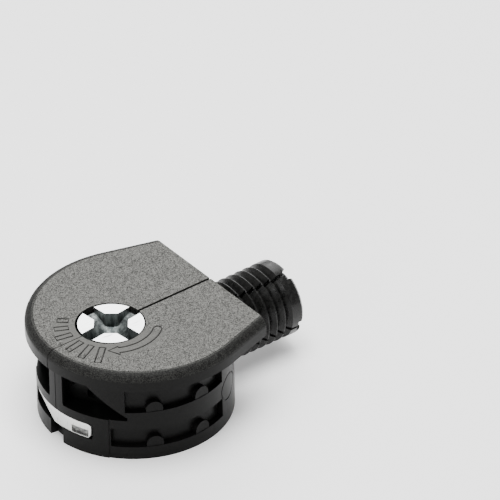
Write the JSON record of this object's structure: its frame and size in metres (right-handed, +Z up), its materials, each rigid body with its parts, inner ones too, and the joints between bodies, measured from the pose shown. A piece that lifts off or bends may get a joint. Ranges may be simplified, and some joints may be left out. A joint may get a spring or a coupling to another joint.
{
  "type": "cam panel connector",
  "caption": "Furniture panel connector: flanged two-part plastic housing with a screwdriver-turned metal cam that draws a bolt and spreads a ribbed plug.",
  "frame": {"origin": "centre of the plug at the joint plane, where the plug leaves the flat end of the housing", "axes": "+X out along the plug, +Z up through the cam head, -Y toward the half shell with the arrow"},
  "size_m": [0.0369, 0.0288, 0.0137],
  "materials": {
    "housing_plastic": "spark-eroded grain on the flange, smooth sides",
    "plug_plastic": "smooth moulded",
    "cam_zinc": "bright plated",
    "bolt_steel": "plated",
    "clip_steel": "bright spring steel"
  },
  "bodies": {
    "housing": {"housing_front": "housing_plastic", "housing_rear": "housing_plastic", "retaining_clip": "clip_steel", "expansion_plug": "plug_plastic"},
    "cam": {"tightening_cam": "cam_zinc"},
    "bolt": {"draw_bolt": "bolt_steel", "expander_cone": "cam_zinc"}
  },
  "joints": [
    {"name": "cam_turn", "type": "hinge", "parent": "housing", "child": "cam", "pos_m": [-0.0156, 0, 0], "axis": [0, 0, -1], "range_deg": [0, 180]},
    {"name": "bolt_slide", "type": "slide", "parent": "housing", "child": "bolt", "axis": [-1, 0, 0], "range_m": [0, 0.0015]}
  ],
  "couplings": [
    {"joint": "cam_turn", "follows": "bolt_slide", "rad_per_m": 2094.3}
  ]
}
